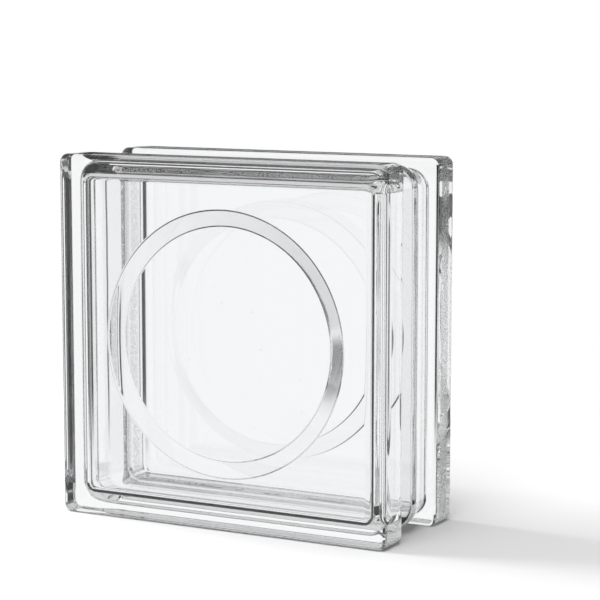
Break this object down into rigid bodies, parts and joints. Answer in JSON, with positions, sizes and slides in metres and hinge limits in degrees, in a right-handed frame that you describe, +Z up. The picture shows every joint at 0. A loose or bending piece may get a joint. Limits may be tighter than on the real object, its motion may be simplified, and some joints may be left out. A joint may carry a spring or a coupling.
{
  "type": "glass block",
  "caption": "Square hollow glass building block with flanged edges, a mortar groove round its sides and a round lens inside each clear face.",
  "frame": {"origin": "middle of the block's footprint, on the level that it stands on", "axes": "+Z up, +Y from the front face to the back face, +X to the right when looking at the front face"},
  "size_m": [0.19, 0.08, 0.19],
  "materials": {
    "clear_glass": "clear pressed glass, fire polished"
  },
  "bodies": {
    "root": {"glass_block": "clear_glass"}
  },
  "joints": []
}
